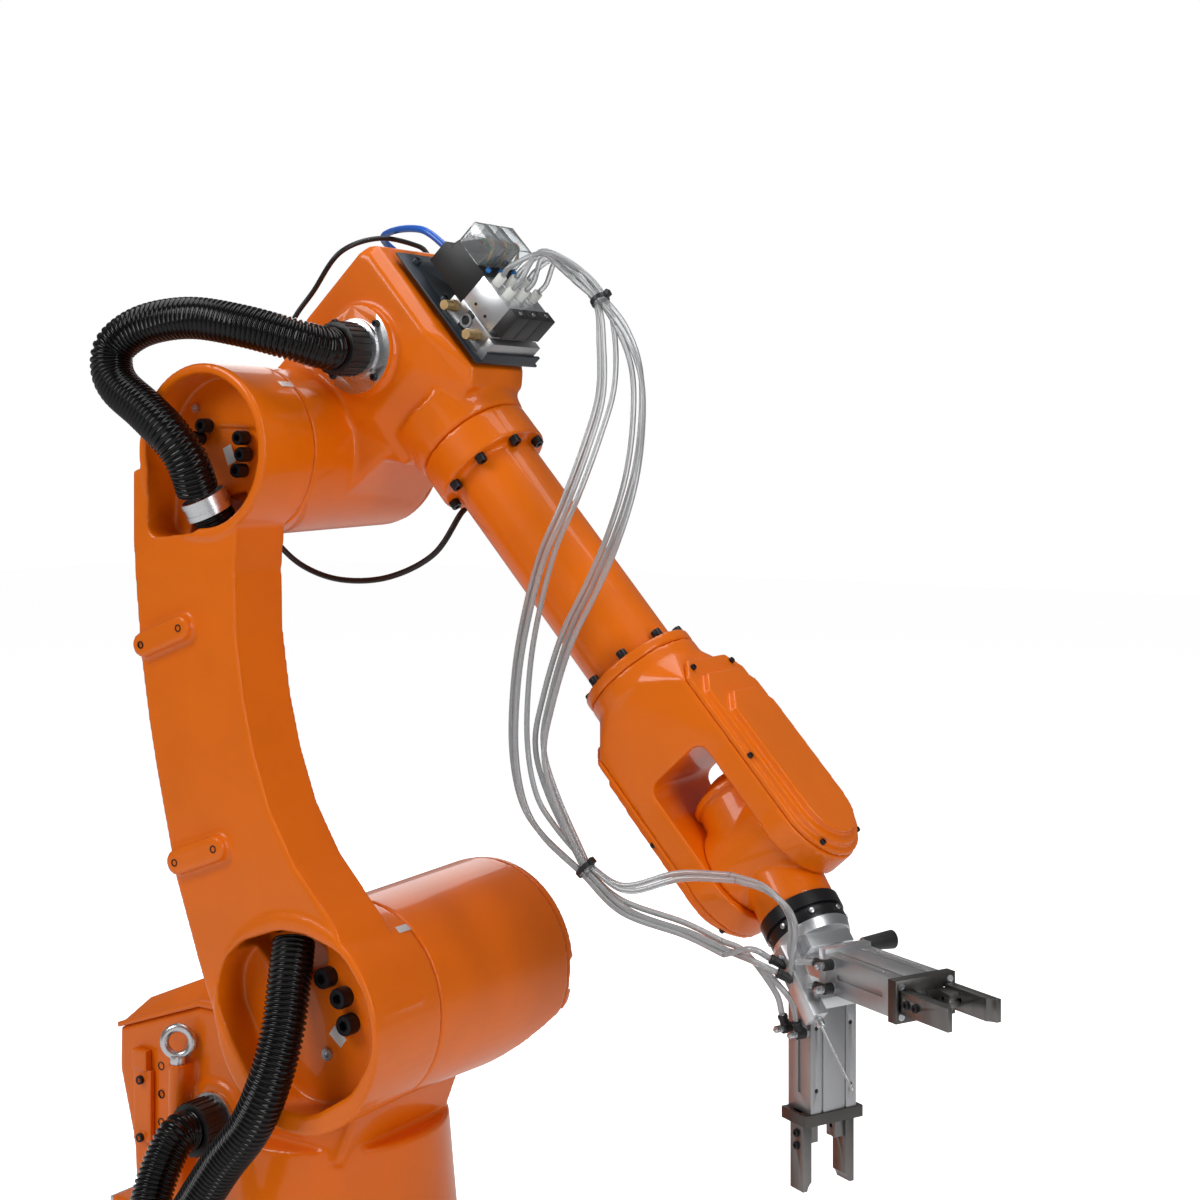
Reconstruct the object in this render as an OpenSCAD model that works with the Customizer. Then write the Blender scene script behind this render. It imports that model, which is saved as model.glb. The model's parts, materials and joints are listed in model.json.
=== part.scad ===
// Six-axis articulated robot arm with a two-gripper pneumatic tool.
// Origin: centre of the base foot on the turning axis. +Z up, the arm works in the X-Z plane.

/* [Base and turret] */
// Side of the square base foot
foot_w = 420; // [400:5:460]
// Thickness of the base foot
foot_t = 25; // [20:1:30]
// Spacing of the four foundation bolts
foot_bolt_gap = 340; // [320:5:350]
// Diameter of the foundation bolt holes
foot_bolt_d = 18; // [14:1:22]
// Height of the fixed base casting
base_h = 118; // [116:1:119]
// Distance of the shoulder axis from the turning axis
shoulder_x = 165; // [160:1:170]
// Height of the shoulder axis above the floor
shoulder_z = 470; // [465:1:475]
/* [Upper arm] */
// Distance from the shoulder axis to the elbow axis
arm_length = 720; // [700:5:740]
// Lean of the upper arm, negative is backwards
arm_lean = -12.7; // [-15:0.1:-8]
/* [Forearm] */
// Distance from the elbow axis to the forearm axis
elbow_offset = 185; // [180:1:190]
// Angle of the forearm below the horizontal
forearm_pitch = 48; // [47:0.5:50]
// Distance along the forearm axis to the wrist axis
wrist_reach = 802; // [795:1:810]
// Radius of the forearm tube
tube_r = 58; // [56:1:60]
/* [Tool] */
// Distance from the wrist axis to the crossing of the two gripper axes
grip_cross = 150; // [146:1:154]
// Opening left between the finger tips of a gripper
jaw_gap = 48; // [44:1:52]
/* [Dress pack] */
// Outer diameter of the corrugated conduit
conduit_d = 54.5; // [50:0.5:55]
/* [Hidden] */
$fn = 64;
arm_near_y = -260;
arm_floor_y = -212;
shoulder_seam_y = -129;
elbow_seam_y = -167;
turret_side_y = -125;
elbow_x = shoulder_x + arm_length * sin(arm_lean);
elbow_z = shoulder_z + arm_length * cos(arm_lean);
foot_x = elbow_x + elbow_offset * sin(forearm_pitch);
foot_z = elbow_z + elbow_offset * cos(forearm_pitch);
// The wrist is bent sideways until the tool points 45 degrees down, so that one gripper is level.
wrist_bend = acos(cos(45) / sin(forearm_pitch));
// The shoulder drum slopes up 80 over 124 towards its end.
drum_slope = atan(80 / 124);
bracket_roll = atan(sin(wrist_bend) * tan(forearm_pitch));
shoulder_bolt_angles = [-11, 22, 55, 175];
elbow_bolt_angles = [12, -17, -46, 115, 143];
cover_screws = [[592, -46], [592, 46], [720, -62], [720, 62], [846, -44], [846, 44]];
pad_heights = [502, 221];
pad_x = [-151, -79];
gland_side_x = -14;
grip_rear = 48;
grip_front = 166;
grip_w = 64;
grip_t = 42;
plate_t = 13;
finger_l = 76;
finger_t = 12;
valve_pitch = 28;
fitting_y = 13.5;
handle_x = 140;
turret_gland_x = -97;
turret_gland_z = 266;
eye_x = -150;
eye_y = -145;
eye_z = 368;
tube_bundle_d = 16;
// The rim of the shoulder recess, and the channel that carries the conduit inside the arm.
rim_round = 60;
elbow_round = 20;
shoulder_rim = [[-124, 30], [-116, 80], [-66, 108], [0, 116], [44, 106], [96, 79], [122, 25], [122, -25],
  [110, -50], [75, -86], [4, -110], [-44, -99], [-87, -61], [-110, -11]];
elbow_rim = [[-124, 632], [-40, 622], [40, 640], [86, 690], [88, 730], [-72, 770], [-98, 716]];
conduit_channel = [[-50, 50], [-90, 100], [-110, 170], [-120, 250], [-124, 340], [-124, 430], [-118, 520],
  [-104, 600], [-80, 664], [16, 664], [16, 640], [-4, 580], [-24, 520], [-30, 430], [-26, 340], [-8, 250],
  [18, 170], [30, 100], [28, 66], [10, 50]];

// Routes of the hoses and cables, chosen by hand, from the fixed end to the moving end.
upper_conduit_route = [[132, -152, 1304], [132, -174, 1304], [112, -208, 1314], [54, -236, 1331],
  [-15, -255, 1342], [-79, -272, 1334], [-118, -284, 1310], [-122, -289, 1281], [-104, -291, 1254],
  [-58, -291, 1224], [-18, -288, 1192], [-2, -272, 1158], [-4, -253, 1123]];
lower_conduit_route = [[-97, -176.2, 266], [-97, -198, 266], [-97, -222, 240], [-93, -246, 204],
  [-80, -268, 168], [-52, -284, 150], [-16, -290, 166], [20, -290, 218], [74, -290, 290],
  [122, -289, 347], [149, -284, 405], [156, -268, 464], [147, -246, 520], [132, -222, 560]];
// This one is in the upper arm's own frame.
arm_conduit_route = [[-12, -215, 112], [-24, -213, 180], [-56, -213, 270], [-80, -213, 400],
  [-74, -213, 520], [-45, -213, 596], [-33, -214, 624], [-25, -236, 654]];
air_hose_route = [[86, 95.5, 1380], [84, 110, 1386], [52, 92, 1440], [54, 44, 1466], [106, 8, 1472],
  [170, -16, 1466], [206, -20, 1446], [218, -20, 1432]];
signal_cable_route = [[-20, -70, 1296], [-30, -70, 1318], [-8, -66, 1356], [18, -60, 1388],
  [66, -60, 1438], [92, -10, 1460], [110, 50, 1454], [121, 60, 1441]];
brake_cable_route = [[-77, -40, 1097], [-84, -40, 1080], [-70, -40, 1050], [-20, -40, 1016],
  [50, -40, 999], [130, -36, 1005], [190, -16, 1036], [214, 10, 1088], [212, 40, 1112], [181, 45, 1147]];
forearm_tube_route = [[327, -8, 1396], [348, -10, 1410], [390, -12, 1403], [456, -20, 1359],
  [512, -50, 1270], [524, -90, 1173], [484, -105, 1065], [437, -112, 944], [422, -115, 822],
  [447, -116, 740], [500, -118, 676]];
wrist_tube_upper = [[508, -119, 670], [554, -125, 656], [620, -112, 676], [686, -105, 681]];
wrist_tube_lower = [[508, -119, 666], [559, -122, 642], [640, -115, 625], [686, -106, 608]];
tool_tube_upper = [[690, -105, 681], [732, -105, 672], [766, -113, 645], [797, -126, 612]];
tool_tube_lower = [[690, -105, 606], [720, -102, 570], [741, -104, 536]];

// Frames, from the base to the grippers.
module at_shoulder() translate([shoulder_x, 0, shoulder_z]) children();
module at_upper_arm() at_shoulder() rotate([0, arm_lean, 0]) children();
module at_elbow() translate([elbow_x, 0, elbow_z]) children();
module at_forearm() translate([foot_x, 0, foot_z]) rotate([0, forearm_pitch, 0]) children();
module at_wrist() {
  at_forearm() translate([wrist_reach, 0, 0]) rotate([0, 0, -wrist_bend]) children();
}
module at_tool() at_wrist() rotate([bracket_roll, 0, 0]) children();
module at_gripper(side) {
  at_tool() translate([grip_cross, 0, 0]) rotate([0, 45 * side, 0]) children();
}

// Cylinders along each axis, from one coordinate to another.
module x_cyl(x0, x1, r, r2 = undef) {
  translate([x0, 0, 0]) rotate([0, 90, 0]) cylinder(h = x1 - x0, r1 = r, r2 = r2 == undef ? r : r2);
}
module y_cyl(y0, y1, r, r2 = undef) {
  translate([0, y0, 0]) rotate([-90, 0, 0]) cylinder(h = y1 - y0, r1 = r, r2 = r2 == undef ? r : r2);
}
module z_cyl(z0, z1, r, r2 = undef) {
  translate([0, 0, z0]) cylinder(h = z1 - z0, r1 = r, r2 = r2 == undef ? r : r2);
}
module box(low, high) translate(low) cube(high - low);
// A plate in the X-Z plane, from y0 to y1.
module xz_plate(y0, y1, points, round = 0) {
  translate([0, y1, 0]) rotate([90, 0, 0]) linear_extrude(y1 - y0) {
    if (round > 0) offset(round) offset(-round) polygon(points);
    else polygon(points);
  }
}
// A socket head screw that points along +Z, head above the seat, shank below it.
module socket_screw(r, head_h, shank_h) {
  difference() {
    z_cyl(0, head_h, r);
    z_cyl(head_h * 0.4, head_h + 1, r * 0.5);
  }
  z_cyl(-shank_h, 0.01, r * 0.6);
}

// Sweep of a round section along a list of points.
function unit(v) = v / norm(v);
function heading(p, i) = unit(p[min(i + 1, len(p) - 1)] - p[max(i - 1, 0)]);
function side_of(p, i) =
  let (t = heading(p, i), s = i == 0 ? cross(t, abs(t.z) < 0.9 ? [0, 0, 1] : [1, 0, 0]) : side_of(p, i - 1))
  unit(s - (s * t) * t);
function ring(p, i, r, n) =
  let (t = heading(p, i), a = side_of(p, i), b = cross(t, a))
  [for (k = [0 : n - 1]) p[i] + r * (a * cos(360 * k / n) + b * sin(360 * k / n))];
module hose(route, d, n = 10) {
  last = len(route) - 1;
  points = [for (i = [0 : last]) each ring(route, i, d / 2, n)];
  walls = [for (i = [0 : last - 1], k = [0 : n - 1]) let (m = (k + 1) % n)
    [i * n + k, (i + 1) * n + k, (i + 1) * n + m, i * n + m]];
  caps = [[for (k = [0 : n - 1]) k], [for (k = [0 : n - 1]) last * n + n - 1 - k]];
  polyhedron(points, concat(walls, caps));
}

// ---- Base ----
module base_casting() color("darkorange") difference() {
  union() {
    linear_extrude(foot_t) polygon([for (a = [0 : 90 : 270], c = [-1, 1])
      [cos(a) * foot_w / 2 - sin(a) * c * (foot_w / 2 - 45), sin(a) * foot_w / 2 + cos(a) * c * (foot_w / 2 - 45)]]);
    z_cyl(foot_t - 1, base_h, 186, 162);
    box([-328, -105, 12], [-100, 105, 108]);
  }
  z_cyl(32, base_h + 1, 118);
  z_cyl(94, base_h + 1, 143.05);
  for (x = [-1, 1], y = [-1, 1]) translate([x * foot_bolt_gap / 2, y * foot_bolt_gap / 2, 0]) {
    z_cyl(-1, foot_t + 1, foot_bolt_d / 2);
    z_cyl(foot_t, base_h, 24);
  }
  box([-329, -88, 30], [-190, 88, 96]);
}
module foundation_bolts() color("dimgray") {
  for (y = [-1, 1]) translate([0, y * foot_bolt_gap / 2, foot_t]) socket_screw(9, 10, 8);
}
module connector_panel() color("silver") difference() {
  box([-334, -100, 18], [-328.02, 100, 104]);
  for (y = [-50, 30]) translate([-340, y, 62]) x_cyl(0, 20, 20);
}
module panel_connectors() color("dimgray") {
  for (y = [-50, 30]) translate([0, y, 62]) {
    x_cyl(-352, -300, 19.9);
    x_cyl(-362, -351, 24);
  }
  translate([0, 80, 62]) x_cyl(-350, -334.02, 8);
}
module j1_reducer() color("gray") {
  z_cyl(33, 90, 112);
  z_cyl(90, base_h - 1, 90);
}
module slewing_bearing() color("silver") difference() {
  z_cyl(95, base_h - 0.5, 143);
  z_cyl(90, base_h + 1, 122);
}

// ---- Turret ----
// The shoulder drum, cut to a slope below its motor end.
module shoulder_drum(y0, y1, r0, r1) difference() {
  y_cyl(y0, y1, r0, r1);
  translate([0, 154, -50]) rotate([drum_slope, 0, 0]) box([-150, -200, -120], [150, 60, 0]);
}
module turret_casting() color("darkorange") difference() {
  union() {
    z_cyl(120, 262, 172, 160);
    xz_plate(turret_side_y, 92, [[-58, 245], [120, 245], [138, 290], [150, 320], [175, 370], [215, 400],
      [165, 480], [60, 480], [-58, 414]]);
    xz_plate(turret_side_y, 125, [[-253, 126], [-260, 208], [-288, 305], [-286, 361], [-130, 414], [60, 414], [60, 126]]);
    at_shoulder() shoulder_drum(shoulder_seam_y + 1.5, 138, 128, 136);
    translate([eye_x, eye_y, 0]) z_cyl(140, eye_z - 29, 14);
    box([eye_x - 14, eye_y, 140], [eye_x + 14, turret_side_y + 1, eye_z - 29]);
    translate([turret_gland_x, 0, turret_gland_z]) y_cyl(turret_side_y - 6, turret_side_y + 1, 52);
  }
  box([-240, -110, 142], [-112, 110, 345]);
  at_shoulder() y_cyl(-112, 60, 104);
  at_shoulder() y_cyl(59, 139, 52);
  for (z = [242, 281, 320]) translate([-204, 0, z]) y_cyl(turret_side_y - 1, turret_side_y + 13, 4.2);
  translate([eye_x, eye_y, eye_z]) z_cyl(-53, -28, 5);
  translate([turret_gland_x, 0, turret_gland_z]) {
    y_cyl(turret_side_y - 7, turret_side_y + 16, 26);
    y_cyl(turret_side_y - 60, turret_side_y - 6, 44);
  }
}
module turret_lid() color("darkorange") {
  xz_plate(turret_side_y - 4, 129, [[-288, 360.36], [-288, 368], [-130, 423], [-62, 423], [-62, 414.05], [-130, 414.05]]);
  hull() {
    xz_plate(turret_side_y + 6, 119, [[-284, 369], [-134, 423], [-96, 426]]);
    xz_plate(turret_side_y + 34, 91, [[-262, 398], [-150, 444], [-96, 444], [-96, 428]]);
  }
}
module turret_side_plate() color("darkorange") {
  box([-250, turret_side_y - 9, 212], [-216, turret_side_y - 0.02, 312]);
  box([-250, turret_side_y - 12, 312], [-222, turret_side_y - 0.02, 340]);
  for (z = [219, 299]) translate([-232, turret_side_y - 9, z]) rotate([90, 0, 0]) socket_screw(6, 7, 0);
}
module lifting_eye() color("lightgray") translate([eye_x, eye_y, eye_z]) {
  rotate([90, 0, 33]) rotate_extrude() translate([19, 0]) circle(6);
  z_cyl(-28.95, -18, 11);
  z_cyl(-50, -28, 4.95);
}
module turret_gland() translate([turret_gland_x, 0, turret_gland_z]) {
  color("silver") difference() {
    y_cyl(turret_side_y - 12, turret_side_y - 6.02, 40);
    y_cyl(turret_side_y - 20, turret_side_y, 28);
  }
  color("#202020") difference() {
    y_cyl(-176, turret_side_y - 12.02, 35);
    y_cyl(-180, turret_side_y, 26);
  }
}
module j1_motor() color("dimgray") translate([-180, 0, 0]) {
  box([-44, -48, 150], [44, 48, 290]);
  z_cyl(290, 335, 40);
}
module j2_motor() color("dimgray") at_shoulder() {
  y_cyl(-40, 56, 62);
  y_cyl(56, 128, 48);
}
module j2_reducer() color("gray") at_shoulder() y_cyl(-111, -42, 103);
module shoulder_end_cap() color("darkorange") at_shoulder() difference() {
  shoulder_drum(138.5, 154, 136, 133);
  box([118, 145, -30], [140, 160, 12]);
}
module lower_conduit() color("#181818") hose(lower_conduit_route, conduit_d);

// ---- Upper arm ----
module upper_arm() color("darkorange") difference() {
  union() {
    at_upper_arm() {
      y_cyl(arm_near_y, shoulder_seam_y, 133, 129);
      translate([0, 0, arm_length]) y_cyl(arm_near_y, elbow_seam_y, 111.6);
      xz_plate(arm_near_y + 4, elbow_seam_y, [[-133, 0], [-150, 90], [-167, 200], [-171, 340], [-171, 400],
        [-167, 486], [-156, 580], [-148, 634], [-128, 723], [0, 720], [105, 720], [40, 620],
        [20, 560], [5, 480], [0, 400], [3, 330], [14, 260], [40, 190], [90, 110], [133, 0]]);
      xz_plate(-166, -140, [[-130, 0], [-140, 60], [-140, 140], [0, 160], [60, 100], [100, 0]]);
      for (z = pad_heights) hull() for (x = pad_x) translate([x, 0, z + (x + 115) * 0.13]) {
        y_cyl(arm_near_y - 8, arm_near_y + 10, 16, $fn = 32);
      }
    }
  }
  at_upper_arm() {
    xz_plate(arm_near_y - 1, arm_floor_y, shoulder_rim, rim_round);
    translate([0, 0, arm_length]) y_cyl(arm_near_y - 1, arm_floor_y, 98);
    xz_plate(arm_near_y - 1, -206, elbow_rim, elbow_round);
    xz_plate(-247, -182, conduit_channel);
    for (z = pad_heights, x = pad_x) translate([x, 0, z + (x + 115) * 0.13]) {
      y_cyl(arm_near_y - 9, arm_near_y + 11, 3.4);
    }
  }
}
module arm_bolts() color("#202020") at_upper_arm() {
  for (a = shoulder_bolt_angles) translate([58 * cos(a) - 4, arm_floor_y, 58 * sin(a)]) {
    rotate([90, 0, 0]) socket_screw(13, 17, 10);
  }
  translate([0, 0, arm_length]) for (a = elbow_bolt_angles) {
    translate([43 * cos(a) - 6, arm_floor_y, 43 * sin(a)]) rotate([90, 0, 0]) socket_screw(9.5, 16, 10);
  }
}
module grease_plugs() color("silver") at_upper_arm() {
  translate([6, arm_floor_y, -46]) rotate([90, 0, 0]) socket_screw(7.5, 5, 8);
  translate([-40, arm_floor_y, arm_length + 66]) rotate([90, 0, 0]) socket_screw(6, 4, 8);
}
module arm_conduit() color("#181818") at_upper_arm() hose(arm_conduit_route, conduit_d);
module conduit_clamp() at_upper_arm() translate([-24, -238, 656]) rotate([24, 0, 0]) {
  color("#202020") for (z = [-12, 5]) difference() {
    z_cyl(z, z + 7, 31.5);
    z_cyl(z - 1, z + 8, 28);
  }
  color("silver") difference() {
    z_cyl(-4.98, 4.98, 30.5);
    z_cyl(-6, 6, 28);
  }
}
module upper_conduit() color("#181818") hose(upper_conduit_route, conduit_d);

// ---- Elbow ----
module elbow_casting() color("darkorange") difference() {
  union() {
    at_elbow() y_cyl(elbow_seam_y + 1.5, 96, 111, 104);
    at_forearm() hull() {
      xz_plate(-74, 88, [[-119, -60], [-119, 86], [-108, 97], [56, 97], [56, -120]]);
      xz_plate(-92, 94, [[-112, -50], [-112, 76], [-98, 86], [40, 86], [60, 40], [60, -50], [20, -110]]);
      xz_plate(-62, 46, [[112, 97], [128, 80], [128, -70], [100, -90]]);
    }
    at_forearm() x_cyl(100, 152, 88, 77);
    at_forearm() hull() {
      xz_plate(-70, 84, [[-112, -70], [104, -60], [70, -150], [-60, -240]]);
      translate([0, 0, -elbow_offset]) y_cyl(-90, 88, 104, $fn = 32);
    }
    at_forearm() translate([gland_side_x, 0, -4]) y_cyl(-100, -60, 58);
  }
  at_elbow() y_cyl(elbow_seam_y - 1, -108, 92);
  at_elbow() y_cyl(-109, 97, 60);
  at_forearm() x_cyl(60, 153, 56);
  at_forearm() box([-96, -54, -54], [61, 54, 54]);
  at_forearm() translate([gland_side_x, 0, -4]) y_cyl(-101, -53, 26);
}
module elbow_gland() at_forearm() translate([gland_side_x, 0, -4]) {
  color("darkorange") difference() {
    y_cyl(-106, -100.02, 58);
    y_cyl(-107, -99, 28);
  }
  color("silver") difference() {
    y_cyl(-111, -106, 40);
    y_cyl(-112, -105, 28);
  }
  color("#202020") {
    for (a = [0 : 90 : 270]) translate([49 * cos(a), -106, 49 * sin(a)]) rotate([90, 0, 0]) {
      socket_screw(4.5, 5, 0);
    }
    difference() {
      y_cyl(-148, -111, 34);
      y_cyl(-149, -110, 26);
    }
  }
}
module j3_reducer() color("gray") at_elbow() y_cyl(elbow_seam_y + 6, -109, 91);
module j3_motor() color("dimgray") at_elbow() {
  y_cyl(-106, 30, 58);
  y_cyl(30, 84, 44);
}
module j4_motor() color("dimgray") at_forearm() {
  box([-90, -42, -42], [40, 42, 42]);
  x_cyl(62, 150, 55);
}
module elbow_end_cap() color("darkorange") at_elbow() {
  y_cyl(96.5, 108, 104, 98);
  for (a = [30 : 60 : 330]) translate([88 * cos(a), 107.5, 88 * sin(a)]) rotate([-90, 0, 0]) {
    socket_screw(5, 5, 0);
  }
}

// ---- Valve station on the elbow ----
module valve_bracket() color("#303236") at_forearm() {
  difference() {
    box([-86, -64, 105], [112, 66, 108]);
    for (x = [-70, 0], y = [-38, 42]) translate([x, y, 0]) z_cyl(100, 112, 4);
  }
  for (x = [-70, 0], y = [-38, 42]) translate([x, y, 0]) {
    z_cyl(97.05, 105, 3.9);
    translate([0, 0, 108]) socket_screw(6.5, 6, 3);
  }
  box([108.5, -56, 107], [112, 58, 122]);
}
module valve_manifold() color("silver") at_forearm() translate([0, -50, 108]) {
  difference() {
    union() {
      box([14, 0, 0.05], [96, 92, 23.9]);
      box([28.5, 0, 23], [96, 92, 30]);
    }
    translate([50, 0, 15]) y_cyl(-1, 20, 8);
  }
  box([96, -4, 0.05], [108, 98, 28]);
}
module brass_silencers() color("goldenrod") at_forearm() translate([0, -50, 123]) {
  for (x = [26, 78]) translate([x, 0, 0]) {
    y_cyl(-9, -0.05, 8, $fn = 6);
    y_cyl(-24, -9, 6.5);
  }
}
module valve_bodies() at_forearm() translate([0, -48, 138.1]) for (i = [0 : 2]) {
  translate([0, i * valve_pitch, 0]) {
    color("silver") box([28.05, 0, 0], [88, valve_pitch - 1, 42]);
    color("#202020") box([88.05, 0, 7], [106, valve_pitch - 1, 44]);
  }
  for (x = [42, 66]) translate([x, i * valve_pitch + fitting_y, 42.05]) {
    color("gainsboro") z_cyl(0, 12, 6.5);
    color("white") z_cyl(12, 15, 5.5);
  }
}
module valve_coils() color("#2a2a2c") at_forearm() translate([-49, -48, 132]) difference() {
  union() {
    box([0, 0, 0], [77, 83, 34]);
    box([14, 0, 34], [77, 83, 50]);
    translate([-16, 58, 18]) x_cyl(0, 16.5, 13);
  }
  for (i = [0 : 2]) translate([69, i * valve_pitch + fitting_y, 0]) z_cyl(38, 51, 4.05);
}
module terminal_covers() color([0.85, 0.9, 0.9, 0.4]) at_forearm() translate([-34, -48, 182.1]) {
  for (i = [0 : 2]) translate([0, i * valve_pitch, 0]) difference() {
    box([0, 0, 0], [46, valve_pitch - 1, 34]);
    box([2, 2, -1], [44, valve_pitch - 3, 32]);
  }
}
module override_button(i) color("dodgerblue") at_forearm() {
  translate([20, -48 + i * valve_pitch + fitting_y, 173]) z_cyl(0, 13, 4);
}
module override_button_1() override_button(0);
module override_button_2() override_button(1);
module override_button_3() override_button(2);
module hose_and_cables() {
  color("royalblue") hose(air_hose_route, 10, 8);
  color("#181818") hose(signal_cable_route, 7, 8);
  color("#181818") hose(brake_cable_route, 8, 8);
}

// ---- Forearm ----
module forearm_tube() color("darkorange") at_forearm() difference() {
  union() {
    x_cyl(153.5, 182, 77);
    x_cyl(182, 200, 77);
    x_cyl(199, 528.1, tube_r + 1, tube_r);
    x_cyl(528, 541.9, 76);
  }
  x_cyl(170, 543, 44);
}
module forearm_bolts() color("#202020") at_forearm() {
  for (a = [0 : 45 : 315]) rotate([a + 20, 0, 0]) {
    translate([200.02, 0, 67]) rotate([0, 90, 0]) socket_screw(7, 10, 0);
    translate([527.98, 0, 67]) rotate([0, -90, 0]) socket_screw(6.5, 10, 0);
  }
  for (m = [0, 1], place = cover_screws) mirror([0, 0, m]) translate([place[0], place[1], 87.02]) socket_screw(3.6, 4, 0);
}
module wrist_fork() color("darkorange") at_forearm() difference() {
  union() {
    x_cyl(542, 566, 76);
    hull() {
      x_cyl(556, 566, 74, $fn = 32);
      box([600, -66, -80], [690, 66, 80]);
    }
    box([680, -66, -80], [wrist_reach, 66, 80]);
    translate([wrist_reach, 0, 0]) z_cyl(-80, 80, 68);
  }
  translate([wrist_reach, 0, 0]) z_cyl(-47, 47, 76);
  rotate([90, 0, 0]) linear_extrude(160, center = true) offset(16) offset(-16) polygon([[668, -47],
    [668, 47], [wrist_reach + 100, 47], [wrist_reach + 100, -47]]);
  x_cyl(541, 600, 46);
  for (m = [0, 1]) mirror([0, 0, m]) {
    box([590, -46, 62], [wrist_reach, 46, 81]);
    translate([wrist_reach, 0, 0]) z_cyl(62, 81, 46);
    box([582, -40, 5], [645, 40, 63]);
  }
  translate([wrist_reach, 0, 0]) z_cyl(-63, 63, 30);
}
module fork_covers() color("darkorange") at_forearm() for (m = [0, 1]) mirror([0, 0, m]) {
  difference() {
    union() {
      side_cover(80.05, 87, 66, 580);
      side_cover(87, 95, 58, 606);
      side_cover(95, 103, 47, 640);
    }
    box([652, -36, 79], [wrist_reach, 36, 96]);
    translate([wrist_reach, 0, 0]) z_cyl(79, 96, 36);
  }
}
// One step of a side cover: a long plate with a round end about the wrist axis.
module side_cover(z0, z1, r, x0) {
  translate([0, 0, z0]) linear_extrude(z1 - z0) polygon([[x0, -r + 22], [x0 + 22, -r], [wrist_reach, -r],
    [wrist_reach, r], [x0 + 22, r], [x0, r - 22]]);
  translate([wrist_reach, 0, 0]) z_cyl(z0, z1, r);
}
module wrist_motors() color("dimgray") at_forearm() for (m = [0, 1]) mirror([0, 0, m]) {
  box([584, -38, 6], [644, 38, 60]);
  translate([614, 0, 0]) z_cyl(60, 66, 10);
}
module wrist_belts() at_forearm() for (m = [0, 1]) mirror([0, 0, m]) {
  color("silver") {
    translate([614, 0, 0]) difference() {
      z_cyl(66.1, 78, 20);
      z_cyl(65, 80, 6);
    }
    translate([wrist_reach, 0, 0]) z_cyl(64, 78, 34);
  }
  color("#202020") difference() {
    hull() {
      translate([614, 0, 0]) z_cyl(68, 76, 23, $fn = 32);
      translate([wrist_reach, 0, 0]) z_cyl(68, 76, 37, $fn = 32);
    }
    hull() {
      translate([614, 0, 0]) z_cyl(60, 80, 20.1, $fn = 32);
      translate([wrist_reach, 0, 0]) z_cyl(60, 80, 34.2, $fn = 32);
    }
  }
}

// ---- Wrist ----
module wrist_casting() color("darkorange") {
  at_wrist() {
    z_cyl(-46.6, 46.6, 60);
    x_cyl(0, 88, 47, 46);
    intersection() {
      x_cyl(-80, 0, 57);
      box([-80, -60, -46.6], [0, 60, 46.6]);
    }
    intersection() {
      x_cyl(-76, -66, 62);
      box([-80, -62, -46.6], [0, 62, 46.6]);
    }
    x_cyl(-92, -80, 43, 46);
    x_cyl(-98, -92, 34, 40);
    z_cyl(-62, 62, 29.95);
  }
}
module wrist_flange() color("#202020") at_wrist() {
  x_cyl(88.05, 104, 49);
  x_cyl(104, 106, 45);
}

// ---- Tool ----
module tool_flange() at_tool() {
  color("#202020") x_cyl(106.3, 120, 47);
  color("silver") for (a = [22.5 : 45 : 337.5]) rotate([a, 0, 0]) translate([112, 0, 47]) {
    z_cyl(0.02, 3, 3.2);
  }
}
module tool_bracket() color("silver") at_tool() difference() {
  union() {
    x_cyl(120.05, 132, 47, 44);
    box([132, -30, -30], [148, 30, 30]);
    for (s = [-1, 1]) translate([grip_cross, 0, 0]) rotate([0, 45 * s, 0]) {
      box([grip_rear - 12.05, -32, -21], [grip_rear - 0.05, 32, 26]);
      box([-20, -26, -12], [grip_rear - 12, 26, 8]);
    }
  }
  translate([handle_x, 0, 0]) y_cyl(20, 31, 5);
}
module clamp_handle() at_tool() translate([handle_x, 0, 0]) {
  color("silver") y_cyl(21, 64, 4.9);
  color("#202020") y_cyl(64, 108, 7.5, 11);
}
module blow_bar() at_tool() translate([8, -48, 6]) {
  color("silver") box([126, -11, -11], [214, 8, 11]);
  color("silver") box([126, 8, -6], [138, 17.95, 6]);
  color("#202020") translate([136, -11.02, 0]) rotate([90, 0, 0]) socket_screw(4.5, 3, 0);
  color("gainsboro") {
    x_cyl(214.05, 224, 5, $fn = 6);
    x_cyl(224, 300, 1.6);
  }
}
// Body of a parallel gripper, along local X, opening along local Y.
module gripper_body(side) at_gripper(side) {
  color("silver") difference() {
    box([grip_rear, -grip_w / 2, -grip_t / 2], [grip_front, grip_w / 2, grip_t / 2]);
    for (y = [-16, 16]) for (z = [-1, 1]) {
      box([grip_rear - 1, y - 1.5, z * 21 - 1.5], [grip_front + 1, y + 1.5, z * 21 + 1.5]);
      for (x = [70, 140]) translate([x, y + (y > 0 ? 8 : -8), 0]) z_cyl(-22, 22, 2.5);
    }
    for (y = [-1, 1]) box([grip_rear + 20, y * 32 - 3, -3], [grip_front - 20, y * 32 + 3, 3]);
  }
  color("dimgray") difference() {
    box([grip_front + 0.05, -40.5, -22.5], [grip_front + plate_t, 40.5, 22.5]);
    box([grip_front - 1, -37, -8.05], [grip_front + plate_t + 1, 37, 8.05]);
  }
}
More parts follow.
